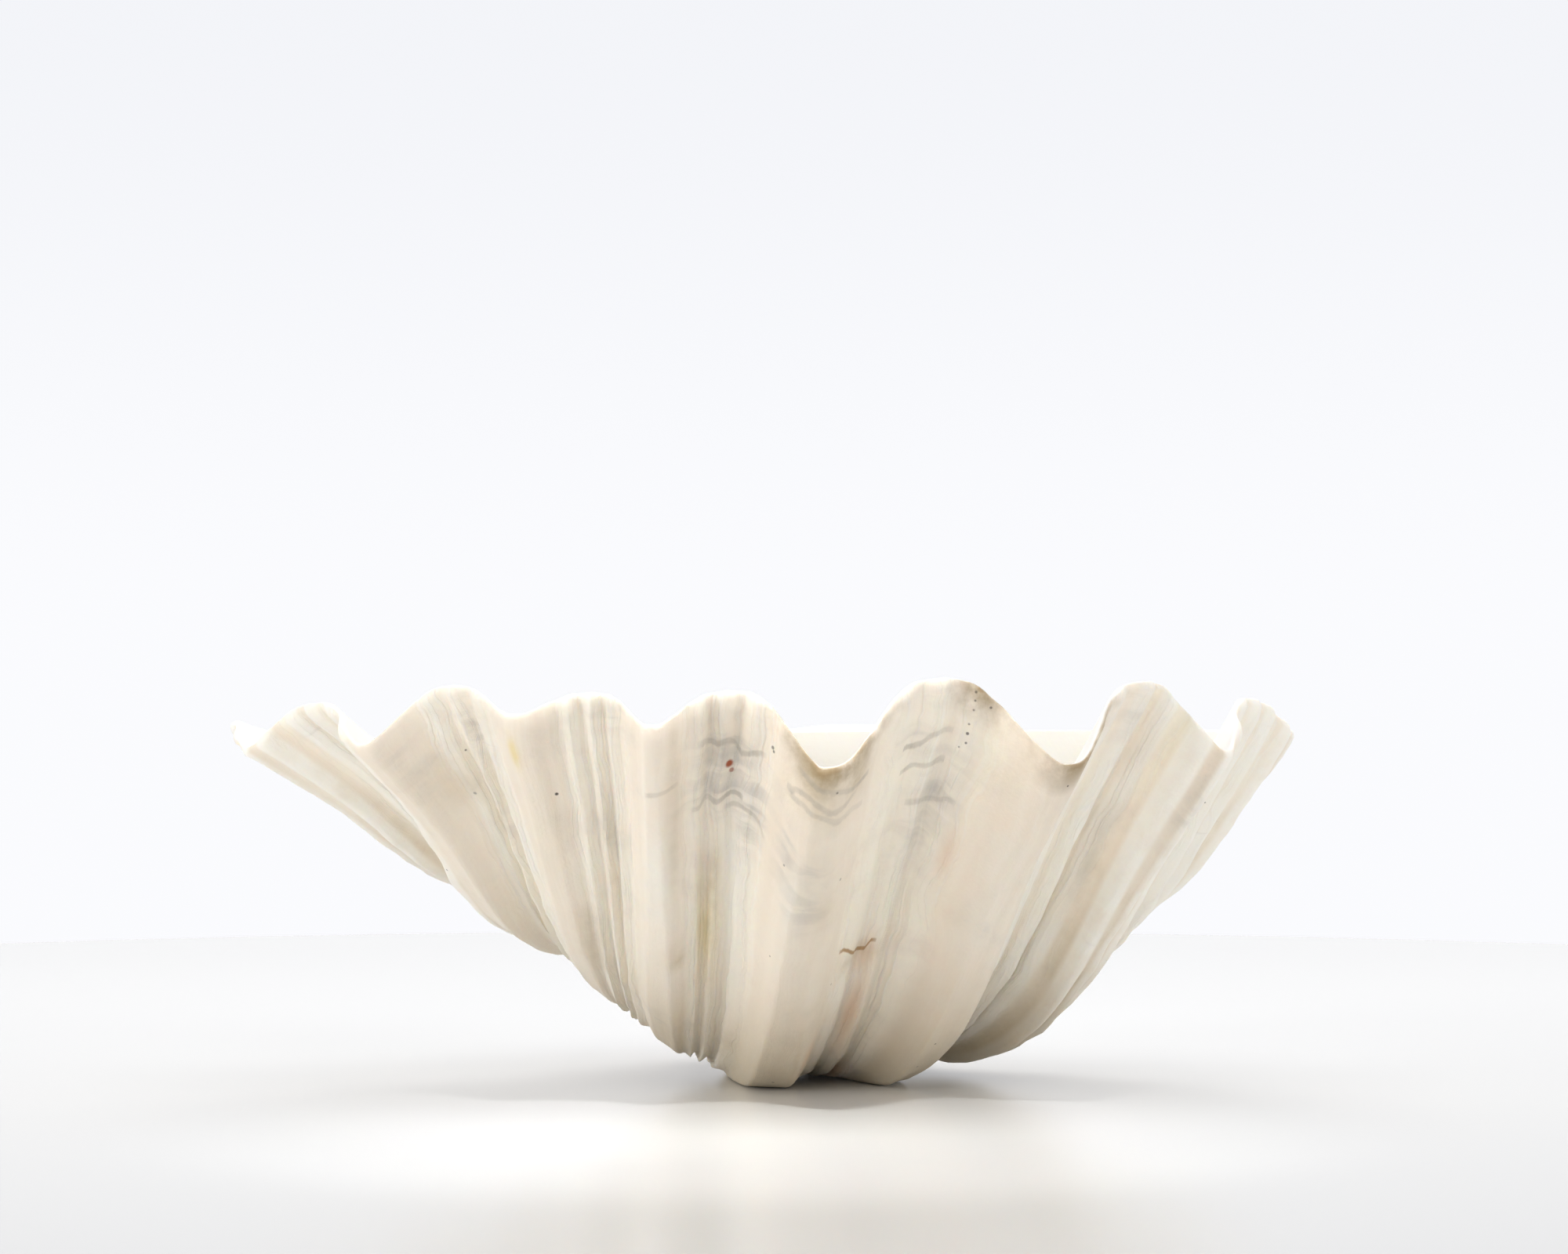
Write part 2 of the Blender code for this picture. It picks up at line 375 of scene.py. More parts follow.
def running_number(angle):
    """The fold number, which goes on evenly past the last folds."""
    past = np.minimum(angle - FOLDS[0][0], 0) + np.maximum(angle - FOLDS[-1][0], 0)
    return fold_number(angle) + past / FOLDS_FADE


def riblet(angle, age):
    """1 on top of a riblet and 0 between two, fading out on the front ribs."""
    number = running_number(angle)
    ends = 1 - ease((np.abs(angle) - FOLDS_END) / FOLDS_FADE)
    flank = on_flank(angle)
    deep = fold_wave(angle, age) + RIB_SIDE_REACH + FLANK_REACH * flank
    in_groove = ease(deep / (1.0 + 0.3 * flank))
    wander = RIBLET_WANDER * wobble(number, age, WANDER_PATTERN)
    ripple = 0.5 + 0.5 * np.cos(2 * math.pi * RIBLETS_PER_FOLD * number + wander)
    uneven = 1 + 0.5 * wobble(number, age, UNEVEN_PATTERN)
    born = ease((age - RIBLET_BIRTH[0]) / RIBLET_BIRTH[1])
    return ripple**RIBLET_SHARPNESS * uneven * in_groove * ends * born


def relief(angle, age):
    """Height of the riblets, growth steps and lumps, in metres."""
    number = fold_number(angle)
    beads = 1 + BEAD_SHARE * wobble(number, age, BEAD_PATTERN)
    strong = 1 + 0.5 * on_flank(angle) * ease((0.95 - age) / 0.15)
    riblets = RIBLET_HEIGHT * strong * (riblet(angle, age) * beads - RIBLET_SINK)
    count = age * STEP_COUNT + STEP_SWAY * wobble(number, age, SWAY_PATTERN)
    saw = count - np.floor(count)
    strength = np.clip(0.5 + wobble(number, age, STEP_PATTERN), 0, 1)
    ramp = saw**2 * (1 - ease((saw - (1 - STEP_EDGE)) / STEP_EDGE))
    lumps = LUMP_HEIGHT * wobble(number, age, LUMP_PATTERN) * ease(age / 0.3)
    return riblets + STEP_HEIGHT * ramp * strength + lumps


def outer_face(angle, age):
    height = relief(angle, age)
    return grown(angle, age) - height[..., None] * inward(angle, age, 1.0, FINE_REACH)


print("riblets:", round((len(FOLDS) - 1) * RIBLETS_PER_FOLD), "round the rim")

# %% [markdown]
# ## The inner face
#
# The wall is thin at the rim and thick at the belly, and the folds fade out inside, where
# the animal filled them with new shell. So the inner face is the same spiral with smaller
# folds, moved inwards by the thickness of the wall. At the hinge the wall ends in a broad
# flat plate. Two marks are left where the animal was fixed: a round scar of its closing
# muscle, and a low line along which its mantle was held.

# %% Inner face
BROAD_REACH = 16.0
WALL = (
    (0.0, 0.012),
    (0.35, 0.012),
    (0.6, 0.0095),
    (0.8, 0.0060),
    (0.92, 0.0038),
    (1.0, 0.0026),
)
FOLDS_INSIDE = ((0.0, 0.10), (0.45, 0.15), (0.75, 0.55), (0.92, 0.95), (1.0, 1.0))
CAVITY_AGE = 0.36
PLATE_WIDTH = ((0.0, 0.016), (0.35, 0.014), (0.7, 0.008), (1.0, 0.0026))
PLATE_DEPTH = 0.009
PLATE_SPAN = 16.0
PLATE_FRONT = 0.026
PLATE_HALF_LENGTH = 0.005
PLATE_GATHER = 2.0
CAVITY_ROOF = 0.30
MANTLE_LINE_AGE = 0.79
MANTLE_LINE_HEIGHT = 0.0007
MANTLE_LINE_BREADTH = 0.008
MANTLE_LINE_SWAY = 0.012
MANTLE_LINE_PATTERN = (0.05, 1, 6.0)
SCAR_ANGLE = -30.0
SCAR_AGE = 0.66
SCAR_SIZE = (17.0, 0.085)
SCAR_DEPTH = 0.0012
UNEVEN_INSIDE = 0.0005
INSIDE_PATTERN = (0.06, 9, 7.0)


def scar_mask(angle, age):
    """1 inside the muscle scar and 0 outside it."""
    far = np.hypot((angle - SCAR_ANGLE) / SCAR_SIZE[0], (age - SCAR_AGE) / SCAR_SIZE[1])
    return 1 - ease((far - 0.9) / 0.2)


def mantle_line(angle):
    """Age of the mantle line, which wavers a little."""
    sway = wobble(angle, np.zeros_like(angle), MANTLE_LINE_PATTERN)
    return MANTLE_LINE_AGE + MANTLE_LINE_SWAY * sway


def inner_face(angle, age):
    share = through(age, FOLDS_INSIDE)
    wall = through(age, WALL)
    plate = through(age, PLATE_WIDTH)
    near_hinge = ease((np.abs(angle) - END_ANGLE + PLATE_SPAN) / PLATE_SPAN)
    thick = wall + (np.maximum(plate, wall) - wall) * near_hinge
    line = bell(age, mantle_line(angle), MANTLE_LINE_BREADTH)
    low = MANTLE_LINE_HEIGHT * line - SCAR_DEPTH * scar_mask(angle, age)
    uneven = UNEVEN_INSIDE * wobble(angle, age, INSIDE_PATTERN) * (1 - near_hinge)
    deep = thick + low * (1 - near_hinge) + uneven
    point = grown(angle, age, share) + deep[..., None] * inward(angle, age, 0.0, BROAD_REACH)
    flat = grown(angle, age, share)[..., 2]
    point[..., 2] = point[..., 2] + (flat - point[..., 2]) * near_hinge
    return point


def cavity_face(angle, grow):
    """Inner face, with its first part running down from the front of the hinge plate."""
    point = inner_face(angle, CAVITY_AGE + (1 - CAVITY_AGE) * grow)
    side = angle / END_ANGLE
    drop = PLATE_DEPTH * ease(grow / (CAVITY_ROOF / 3)) * (1 - np.abs(side) ** 6)
    edge_x = BEAK[0] + PLATE_HALF_LENGTH * np.sign(side) * np.abs(side) ** PLATE_GATHER
    edge_y = np.full_like(angle, BEAK[1] - PLATE_FRONT)
    edge = np.stack([edge_x, edge_y, BEAK[2] - drop], -1)
    joined = ease(grow / CAVITY_ROOF)
    return edge + (point - edge) * joined[..., None]


print("thickest and thinnest wall, in millimetres:", WALL[0][1] * 1000, WALL[-1][1] * 1000)

# %% [markdown]
# ## A flat slab of cells
#
# The valve starts as a flat slab, one cell thick. Its length is the angle, its width is
# the age, and its thickness goes through the wall. A grid is made and extruded once. Then
# the short edges round the slab are cut, so that the rim has enough points to be rounded
# and the hinge plate enough to carry its teeth.

# %% Slab
CELLS_PER_FOLD = 24
CELLS_PAST_FOLDS = 10
CELLS_BY_AGE = 104
CUTS_THROUGH_WALL = 5
AGE_CROWDING = 1.15
FIRST_AGE = 0.10


def rim_angles():
    """One angle for each line of cells: the same number of cells for every fold."""
    places = [fold[0] for fold in FOLDS]
    numbers = np.arange((len(places) - 1) * CELLS_PER_FOLD + 1) / CELLS_PER_FOLD
    middle = np.interp(numbers, np.arange(len(places)), places)
    left = np.linspace(-END_ANGLE, places[0], CELLS_PAST_FOLDS, endpoint=False)
    right = np.linspace(END_ANGLE, places[-1], CELLS_PAST_FOLDS, endpoint=False)[::-1]
    return np.concatenate([left, middle, right])


def flat_slab(columns):
    slab = bmesh.new()
    bmesh.ops.create_grid(slab, x_segments=columns, y_segments=CELLS_BY_AGE, size=0.5)
    bmesh.ops.translate(slab, verts=slab.verts[:], vec=(0.5, 0.5, 0.0))
    skin = bmesh.ops.extrude_face_region(slab, geom=slab.faces[:])
    raised = [item for item in skin["geom"] if isinstance(item, bmesh.types.BMVert)]
    bmesh.ops.translate(slab, verts=raised, vec=(0.0, 0.0, 1.0))
    upright = [e for e in slab.edges if abs(e.verts[0].co.z - e.verts[1].co.z) > 0.5]
    bmesh.ops.subdivide_edges(slab, edges=upright, cuts=CUTS_THROUGH_WALL, use_grid_fill=True)
    bmesh.ops.recalc_face_normals(slab, faces=slab.faces[:])
    return slab


angles = rim_angles()
slab = flat_slab(len(angles) - 1)
print("slab:", len(slab.verts), "points and", len(slab.faces), "faces")

# %% [markdown]
# ## Bending the slab
#
# Each point of the slab has its three numbers, so its place can be worked out. Points on
# the lower face go to the outer face of the shell, points on the upper face to the inner
# one. Points between the two lie on a straight line through the wall. At the rim they are
# pushed out in the direction of growth, as much as makes the edge round.
#
# On the hinge plate they carry relief. The groove behind the beak held the ligament, and
# long low teeth kept the two valves in line. The photograph doesn't show them, but a real
# valve of this kind has them.
#
# The lowest ribs are worn flat where the valve has always stood.

# %% Bend
RIM_ROUNDNESS = 0.42
RIM_WEAR = 0.008
BROAD_BITES = (2.6, 1, 8.0)
SMALL_BITES = (8, 1, 9.0)
WORN_SOFTNESS = 0.0006
# Middle and breadth as shares of the wall, and a height or a depth in metres
LIGAMENT = (0.30, 0.15)
LIGAMENT_DEPTH = 0.0022
TOOTH = (0.66, 0.11)
TOOTH_HEIGHT = 0.0020
# Ages, each first for the left side of the plate and then for its right side
LIGAMENT_END = (0.62, 0.20)
LIGAMENT_FADE = (0.1, 0.06)
LONG_TOOTH_END = (0.80, 0.55)
SHORT_TOOTH = (0.15, 0.025)
PLATE_END = 0.98
THIN_WALL = 0.003


def plate_relief(side, age, through_wall):
    """Height of the teeth and depth of the ligament groove on the hinge plate."""
    left = side < 0
    reach = ease((np.where(left, *LIGAMENT_END) - age) / np.where(left, *LIGAMENT_FADE))
    groove = bell(through_wall, *LIGAMENT) * reach
    last = np.where(left, *LONG_TOOTH_END)
    long_tooth = ease((age - 0.22) / 0.08) * ease((last - age) / 0.15)
    ridge = bell(through_wall, *TOOTH) * (long_tooth + 0.8 * bell(age, *SHORT_TOOTH))
    return TOOTH_HEIGHT * ridge - LIGAMENT_DEPTH * groove


def worn_back(angle):
    """How much age the sea wore off the rim, in broad and small bites."""
    number = fold_number(angle)
    still = np.zeros_like(angle)
    bites = wobble(number, still, BROAD_BITES) + 0.5 * wobble(number, still, SMALL_BITES)
    return np.maximum(RIM_WEAR * bites, 0) * ease((END_ANGLE - np.abs(angle)) / PLATE_SPAN)


def bend(slab, angles):
    flat = np.array([vert.co for vert in slab.verts])
    angle = np.interp(flat[:, 0], np.linspace(0, 1, len(angles)), angles)
    grow = flat[:, 1] ** AGE_CROWDING
    wall = flat[:, 2]
    age = FIRST_AGE + (1 - worn_back(angle) - FIRST_AGE) * grow
    outside = outer_face(angle, age)
    inside = cavity_face(angle, grow)
    place = outside + (inside - outside) * wall[:, None]
    across = np.linalg.norm(inside - outside, axis=-1)
    on_rim = flat[:, 1] > 1 - 1e-4
    push = RIM_ROUNDNESS * across * (4 * wall * (1 - wall) * on_rim)
    place += unit(growth_way(angle, age)) * push[:, None]
    on_plate = (np.abs(angle) > END_ANGLE - 1e-3) * (flat[:, 1] < PLATE_END)
    wide = ease((across - THIN_WALL) / (2 * THIN_WALL))
    relief_here = plate_relief(np.sign(angle), age, wall) * wide * on_plate
    place[:, 2] += relief_here * (0 < wall) * (wall < 1)
    low = place[:, 2]
    place[:, 2] = (low + np.sqrt(low**2 + WORN_SOFTNESS**2)) / 2
    for vert, point in zip(slab.verts, place):
        vert.co = point
    return angle, age, wall, place


angle, age, wall, place = bend(slab, angles)
if slab.calc_volume(signed=True) < 0:
    bmesh.ops.reverse_faces(slab, faces=slab.faces[:])
print("volume, in cubic centimetres:", round(slab.calc_volume() * 1e6))

valve_data = bpy.data.meshes.new("valve_shell")
slab.to_mesh(valve_data)
slab.free()
valve_data.shade_smooth()
valve_data.set_sharp_from_angle(angle=math.radians(60))
valve = bpy.data.objects.new("valve_shell", valve_data)
bpy.context.scene.collection.objects.link(valve)

# %% [markdown]
# ## Numbers that the finish needs
#
# A pattern that follows the shell needs the place round the rim and the age of every point.
# They are kept as a UV map, which is just two numbers for each corner of a face. Other numbers
# are kept as attributes, one for each point: how far through the wall it is, how deep in a
# groove, how high on a riblet, how far round on a flank, and how much painted shade and brown
# stain the rim edge gets.
# They could be painted by hand, but then they would have to be painted again for each shape.

# %% Growth map
# The rim edge gets painted shade, with some brown stain, at these folds.
SHADED_AND_STAINED_RIM = ((9.0, 0.55), (10.3, 0.2), (11.1, 0.5))
RIM_SHADE_START = 0.984
RIM_SHADE_FADE = 0.011


def keep(name, values):
    """Stores one number for each point of the valve."""
    attribute = valve_data.attributes.new(name, "FLOAT", "POINT")
    attribute.data.foreach_set("value", np.asarray(values, dtype=np.float32))


corner_point = np.zeros(len(valve_data.loops), dtype=np.int32)
valve_data.loops.foreach_get("vertex_index", corner_point)
growth = valve_data.uv_layers.new(name="growth")
number = running_number(angle)
outer = wall < 0.5
both = np.stack([number[corner_point], age[corner_point]], -1)
growth.uv.foreach_set("vector", both.ravel().astype(np.float32))
keep("inside", ease((wall - 0.3) / 0.5))
keep("groove", ease(fold_wave(angle, age) + 0.3) * outer)
keep("riblet", riblet(angle, age) * outer)
keep("flank", on_flank(angle) * outer)
shaded_and_stained_rim = sum(bell(number, middle, breadth) for middle, breadth in SHADED_AND_STAINED_RIM)
keep("rim_shade_and_stain", shaded_and_stained_rim * ease((age - RIM_SHADE_START) / RIM_SHADE_FADE) * (wall < 0.7))
print("ages on the valve:", round(float(age.min()), 3), "to", round(float(age.max()), 3))

# %% [markdown]
# ## Marks
#
# A shell that lay in the sea is stained. Each mark is named by what it looks like and is placed
# where the photograph shows it: a pixel of the picture, a length along the growth and a width
# across it, both in metres, and a strength. A ray from the camera through the pixel finds the
# spot on the shell, and the mark fades around that spot. The white marks aren't stains but
# painted highlights, where the shell is brightly lit.

# %% List of marks
MARKS = {
    "tan": (
        (1060, 1015, 0.009, 0.012, 0.8),
        (1040, 1000, 0.008, 0.005, 0.9),
        (1092, 992, 0.010, 0.005, 0.95),
        (1065, 1035, 0.006, 0.010, 0.6),
        (605, 1005, 0.004, 0.003, 0.9),
        (590, 1000, 0.007, 0.008, 0.4),
        (865, 1222, 0.004, 0.003, 0.8),
        (905, 1160, 0.030, 0.003, 0.7),
        (1090, 1218, 0.0028, 0.0050, 1.0),
        (860, 1020, 0.030, 0.002, 0.5),
        (1385, 1105, 0.016, 0.0022, 0.55),
        (1400, 1070, 0.014, 0.0022, 0.4),
        (1395, 945, 0.005, 0.003, 0.8),
        (1450, 960, 0.010, 0.003, 0.3),
        (780, 1100, 0.030, 0.003, 0.3),
        (755, 1200, 0.015, 0.004, 0.5),
        (930, 1330, 0.012, 0.003, 0.5),
        (1045, 1180, 0.022, 0.009, 0.3),
        (930, 930, 0.010, 0.012, 0.3),
    ),
    "grey": (
        (930, 960, 0.010, 0.012, 0.6),
        (920, 1015, 0.006, 0.010, 0.8),
        (960, 1040, 0.012, 0.004, 0.8),
        (1180, 940, 0.004, 0.008, 0.45),
        (1190, 1010, 0.018, 0.007, 0.6),
        (1005, 1090, 0.010, 0.004, 0.5),
        (1030, 1140, 0.014, 0.006, 0.45),
        (600, 910, 0.010, 0.004, 0.55),
        (780, 900, 0.008, 0.008, 0.4),
        (640, 1040, 0.014, 0.003, 0.3),
        (780, 1060, 0.010, 0.003, 0.3),
        (1205, 885, 0.005, 0.012, 0.35),
        (1450, 905, 0.012, 0.006, 0.3),
        (500, 960, 0.014, 0.006, 0.3),
        (1510, 1050, 0.012, 0.004, 0.4),
    ),
    # painted highlights: white spots where the shell is brightly lit
    "painted_highlight": (
        (935, 1100, 0.026, 0.005, 0.9),
        (1015, 1170, 0.012, 0.005, 0.8),
        (1180, 980, 0.014, 0.005, 0.5),
        (840, 1120, 0.040, 0.005, 0.7),
        (665, 1060, 0.030, 0.004, 0.8),
        (1270, 1110, 0.030, 0.005, 0.5),
        (1330, 1090, 0.040, 0.006, 0.7),
        (1095, 1260, 0.010, 0.003, 0.4),
    ),
    "rose": (
        (1103, 1218, 0.006, 0.0030, 0.45),
        (1085, 1290, 0.018, 0.0022, 0.7),
        (1062, 1365, 0.012, 0.0022, 0.8),
        (1207, 1090, 0.007, 0.002, 0.4),
        (1030, 1350, 0.010, 0.003, 0.5),
    ),
    "yellow": (
        (655, 960, 0.0042, 0.0016, 0.9),
        (900, 1190, 0.014, 0.002, 0.5),
    ),
}
print("marks:", {name: len(spots) for name, spots in MARKS.items()})

# %% [markdown]
# ## Growth lines and specks
#
# Dark wavy lines near the rim show where growth paused, and one short line is a crack. Each
# is traced as a few pixels, from left to right. Lines that lie over one another are in
# different layers, because a point can store only one line of each layer. A speck is a
# pixel, a radius in metres and a strength, and so is each drop of the rust-red spot.

# %% List of growth lines and specks
GROWTH_LINES = (
    (
        ((895, 950), (904, 944), (914, 950), (923, 944), (930, 943), (937, 949), (945, 960),
         (970, 963)),
        ((1026, 986), (1036, 998), (1046, 1006), (1068, 1013), (1090, 1007), (1104, 990)),
        ((1154, 951), (1164, 952), (1179, 947), (1189, 940), (1200, 937), (1210, 936)),
    ),
    (
        ((889, 1032), (901, 1020), (911, 1024), (930, 1010), (945, 1013)),
        ((1008, 1008), (1020, 1011), (1032, 1020), (1044, 1033), (1056, 1039), (1072, 1037),
         (1088, 1016)),
        ((1150, 985), (1165, 978), (1179, 980), (1189, 976), (1200, 971)),
    ),
    (
        ((930, 1029), (948, 1030), (958, 1036), (967, 1048), (972, 1064)),
        ((829, 1018), (845, 1015), (860, 1007)),
        ((1012, 1020), (1026, 1028), (1039, 1040), (1053, 1049), (1068, 1049), (1082, 1040),
         (1098, 1028)),
        ((1158, 1024), (1170, 1021), (1182, 1021), (1195, 1019), (1208, 1021)),
    ),
    (
        ((1076, 1212), (1088, 1216), (1098, 1213), (1104, 1209), (1108, 1202), (1113, 1199)),
    ),
)
LINE_FADE = 0.7
RED_SPOT = ((930, 974, 0.0016, 1.0), (933, 982, 0.0010, 0.7))
SPECKS = (
    (710, 1013, 0.00068, 1.0),
    (986, 954, 0.00075, 0.7),
    (987, 959, 0.00060, 0.7),
    (594, 957, 0.00045, 0.7),
    (570, 1110, 0.00045, 0.6),
    (606, 1012, 0.00068, 0.5),
    (1245, 883, 0.00052, 0.7),
    (1244, 894, 0.00045, 0.7),
    (1242, 906, 0.00045, 0.6),
    (1236, 924, 0.00045, 0.6),
    (1234, 936, 0.00060, 0.8),
    (1232, 948, 0.00045, 0.8),
    (1223, 953, 0.00038, 0.5),
    (1264, 903, 0.00052, 0.7),
    (1362, 1003, 0.00045, 0.8),
    (1537, 1024, 0.00038, 0.5),
    (1068, 1012, 0.00052, 0.6),
    (1072, 1122, 0.00060, 0.5),
    (1000, 1104, 0.00052, 0.5),
    (1193, 1332, 0.00045, 0.8),
    (1170, 1361, 0.00052, 0.7),
    (1060, 1256, 0.00045, 0.6),
    (1022, 1364, 0.00045, 0.6),
    (986, 1381, 0.00060, 0.5),
    (982, 1220, 0.00038, 0.5),
)
print("traced growth lines:", sum(len(lines) for lines in GROWTH_LINES))

# %% [markdown]
# ## Placing the marks
#
# The shell is made into a search tree, which quickly finds where a ray hits it. A mark is
# longer along the growth than across it, like the real ones, because stains run along the
# riblets. Its strength is stored at each point. For a traced line the age of the line is
# stored instead, so that the material can draw it thinner than the points are apart.

# %% Place the marks
def seen_at(pixel_x, pixel_y, shell_tree):
    """The spot of the shell that a pixel of the photograph shows."""
    aim = Vector((
        (pixel_x - PICTURE_WIDTH / 2) / FOCAL_PIXELS,
        1.0,
        (PICTURE_HEIGHT / 2 - pixel_y) / FOCAL_PIXELS,
    ))
    return shell_tree.ray_cast(CAMERA_SPOT, aim.normalized())


def mark(spots, shell_tree, points, grow_way):
    """How strongly each point is stained by a list of marks."""
    stain = np.zeros(len(points))
    for pixel_x, pixel_y, length, width, strength in spots:
        spot, normal, face, far = seen_at(pixel_x, pixel_y, shell_tree)
        nearest = valve_data.polygons[face].vertices[0]
        away = points - np.array(spot)
        along = away @ grow_way[nearest]
        across = np.linalg.norm(away - along[:, None] * grow_way[nearest], axis=-1)
        faded = np.exp(-((along / length) ** 2) - (across / width) ** 2)
        stain = np.maximum(stain, strength * faded)
    return stain * outer


def specks_at(spots, shell_tree):
    """Each speck's place on the shell, with its radius in metres and its strength."""
    hits = [(seen_at(x, y, shell_tree)[0], radius, strength) for x, y, radius, strength in spots]
    return [hit for hit in hits if hit[0] is not None]


def growth_at(spot, face):
    """The angle and the age at a spot of a face, weighed from the corners of the face."""
    corners = list(valve_data.polygons[face].vertices)
    far = np.linalg.norm(place[corners] - np.array(spot), axis=-1)
    share = 1 / (far + 1e-5) ** 2
    share = share / share.sum()
    return float(angle[corners] @ share), float(age[corners] @ share)


def line_layer(lines, shell_tree):
    """For each point, the age of the traced line at its angle, and how strong it is there."""
    line_age = np.full(len(angle), -1.0)
    strength = np.zeros(len(angle))
    for pixels in lines:
        hits = [seen_at(x, y, shell_tree) for x, y in pixels]
        spots = sorted(growth_at(hit[0], hit[2]) for hit in hits)
        at = np.array([spot[0] for spot in spots])
        near = (angle > at[0] - LINE_FADE) & (angle < at[-1] + LINE_FADE) & outer
        line_age[near] = np.interp(angle[near], at, [spot[1] for spot in spots])
        beyond = np.maximum(at[0] - angle[near], angle[near] - at[-1])
        strength[near] = 1 - ease(beyond / LINE_FADE)
    return line_age, strength


depsgraph = bpy.context.evaluated_depsgraph_get()
shell_tree = BVHTree.FromObject(valve, depsgraph)
grow_way = unit(growth_way(angle, age))
for name, spots in MARKS.items():
    keep(name, mark(spots, shell_tree, place, grow_way))
for k, lines in enumerate(GROWTH_LINES):
    line_age, strength = line_layer(lines, shell_tree)
    keep(f"line_age_{k}", line_age)
    keep(f"line_strength_{k}", strength)
print("numbers stored at each point:", len(valve_data.attributes))

# %% [markdown]
# ## The finish: helpers for nodes
#
# A material is a tree of nodes that pass numbers and colours along. It could be drawn by
# hand in the shader editor. Here it is built in code, because then every value has a name
# and is changed in one place. Each helper adds one kind of node and links its inputs, so
# the cells after this one read like a recipe.

# %% Node helpers
def link_or_set(tree, socket, value):
    if isinstance(value, bpy.types.NodeSocket):
        tree.links.new(value, socket)
    else:
        socket.default_value = value


def place_node(tree, kind, inputs, **settings):
    """Adds a node, with its settings, and its inputs by name or by number."""
    made = tree.nodes.new(kind)
    for name, value in settings.items():
        setattr(made, name, value)
    for name, value in inputs.items():
        link_or_set(tree, made.inputs[name], value)
    return made


def attribute_of(tree, name):
    return place_node(tree, "ShaderNodeAttribute", {}, attribute_name=name).outputs["Fac"]


def calculated(tree, operation, a, b=0.0):
    return place_node(tree, "ShaderNodeMath", {0: a, 1: b}, operation=operation).outputs[0]


def times(tree, a, b):
    return calculated(tree, "MULTIPLY", a, b)


def plus(tree, a, b):
    return calculated(tree, "ADD", a, b)


def larger(tree, a, b):
    return calculated(tree, "MAXIMUM", a, b)


def rest_of(tree, value):
    """1 minus the value."""
    return calculated(tree, "SUBTRACT", 1.0, value)


def ranged(tree, value, low, high, to_low=0.0, to_high=1.0):
    """Turns a value between low and high into one between to_low and to_high."""
    made = place_node(
        tree,
        "ShaderNodeMapRange",
        {"Value": value, "From Min": low, "From Max": high, "To Min": to_low, "To Max": to_high},
        interpolation_type="SMOOTHSTEP",
    )
    return made.outputs["Result"]


def part_of(tree, vector, axis):
    return place_node(tree, "ShaderNodeSeparateXYZ", {"Vector": vector}).outputs[axis]


# %% [markdown]
# Two more helpers make the patterns. Noise is the same in every direction, so a streak is
# noise on coordinates that were made larger across it. The last one mixes two colours.

# %% Helpers for patterns and colours
def grain(tree, vector, scale, detail=3.0, roughness=0.55, distortion=0.0):
    """Noise from 0 to 1. A scale of three numbers stretches it."""
    if isinstance(scale, tuple):
        stretched = place_node(tree, "ShaderNodeMapping", {"Vector": vector, "Scale": scale})
        vector = stretched.outputs["Vector"]
        scale = 1.0
    made = place_node(
        tree,
        "ShaderNodeTexNoise",
        {
            "Vector": vector,
            "Scale": scale,
            "Detail": detail,
            "Roughness": roughness,
            "Distortion": distortion,
        },
    )
    return made.outputs["Fac"]


# The Mix node has sockets of the same name for each kind of value, so they go by number
MIX_FACTOR, MIX_A, MIX_B, MIX_RESULT = 0, 6, 7, 2


def blended(tree, share, first, second):
    """A mix of two colours: all first at a share of 0 and all second at 1."""
    made = place_node(
        tree,
        "ShaderNodeMix",
        {MIX_FACTOR: share, MIX_A: first, MIX_B: second},
        data_type="RGBA",
    )
    return made.outputs[MIX_RESULT]


# %% [markdown]
# ## Colours
#
# Shell is lime, a warm white that is never quite clean. The grooves are painted paler than the
# ribs, and the ribs a little pinker: painted light that offsets the shade in the grooves. The
# inside is like unglazed china, painted darker towards its floor as painted shade. The whites
# are painted highlights, the olive is painted shade between the riblets, and the rim brown is
# painted shade along the rim edge with some brown stain. The other colours are stains, each
# named by what it looks like, and the tan near the foot is partly painted shade.

# %% Colours
LIT_GROOVE_CHALK = (0.97, 0.90, 0.785, 1.0)
RIB_CHALK = (0.875, 0.79, 0.672, 1.0)
CHINA = (0.93, 0.91, 0.86, 1.0)
SHADED_CHINA = (0.60, 0.55, 0.47, 1.0)
HIGHLIGHT_WHITE = (0.97, 0.93, 0.85, 1.0)
GREY = (0.45, 0.43, 0.40, 1.0)
TAN = (0.50, 0.41, 0.26, 1.0)
ROSE = (0.74, 0.50, 0.33, 1.0)
YELLOW = (0.80, 0.66, 0.30, 1.0)
GAP_SHADE_OLIVE = (0.56, 0.46, 0.27, 1.0)
RIM_SHADE_BROWN = (0.30, 0.21, 0.10, 1.0)
LINE_DARK = (0.40, 0.36, 0.30, 1.0)
CRACK = (0.38, 0.21, 0.07, 1.0)
SPECK = (0.05, 0.04, 0.03, 1.0)
RUST = (0.34, 0.08, 0.03, 1.0)
print("a rib's share of a groove's light:", round(sum(RIB_CHALK[:3]) / sum(LIT_GROOVE_CHALK[:3]), 2))

# %% [markdown]
# ## Patterns
#
# Streaks and fine cords run with the growth, and growth lines run across it. All three are
# noise on the growth map, stretched far in one direction. Another noise shifts the map a
# little first, so that no streak is dead straight. Clouds, patches and pores are noise in
# space, because dirt and wear don't follow the growth.

# %% Patterns
DRIFT_SCALE = 45.0
DRIFT_REACH = (0.30, 0.02, 0.0)
STREAK_SCALE = (5.0, 2.6, 1.0)
CORD_SCALE = (22.0, 4.5, 1.0)
LINE_SCALE = (1.2, 70.0, 1.0)
CLOUD_SCALE = 22.0
PATCH_SCALE = 55.0
PORE_SCALE = 900.0

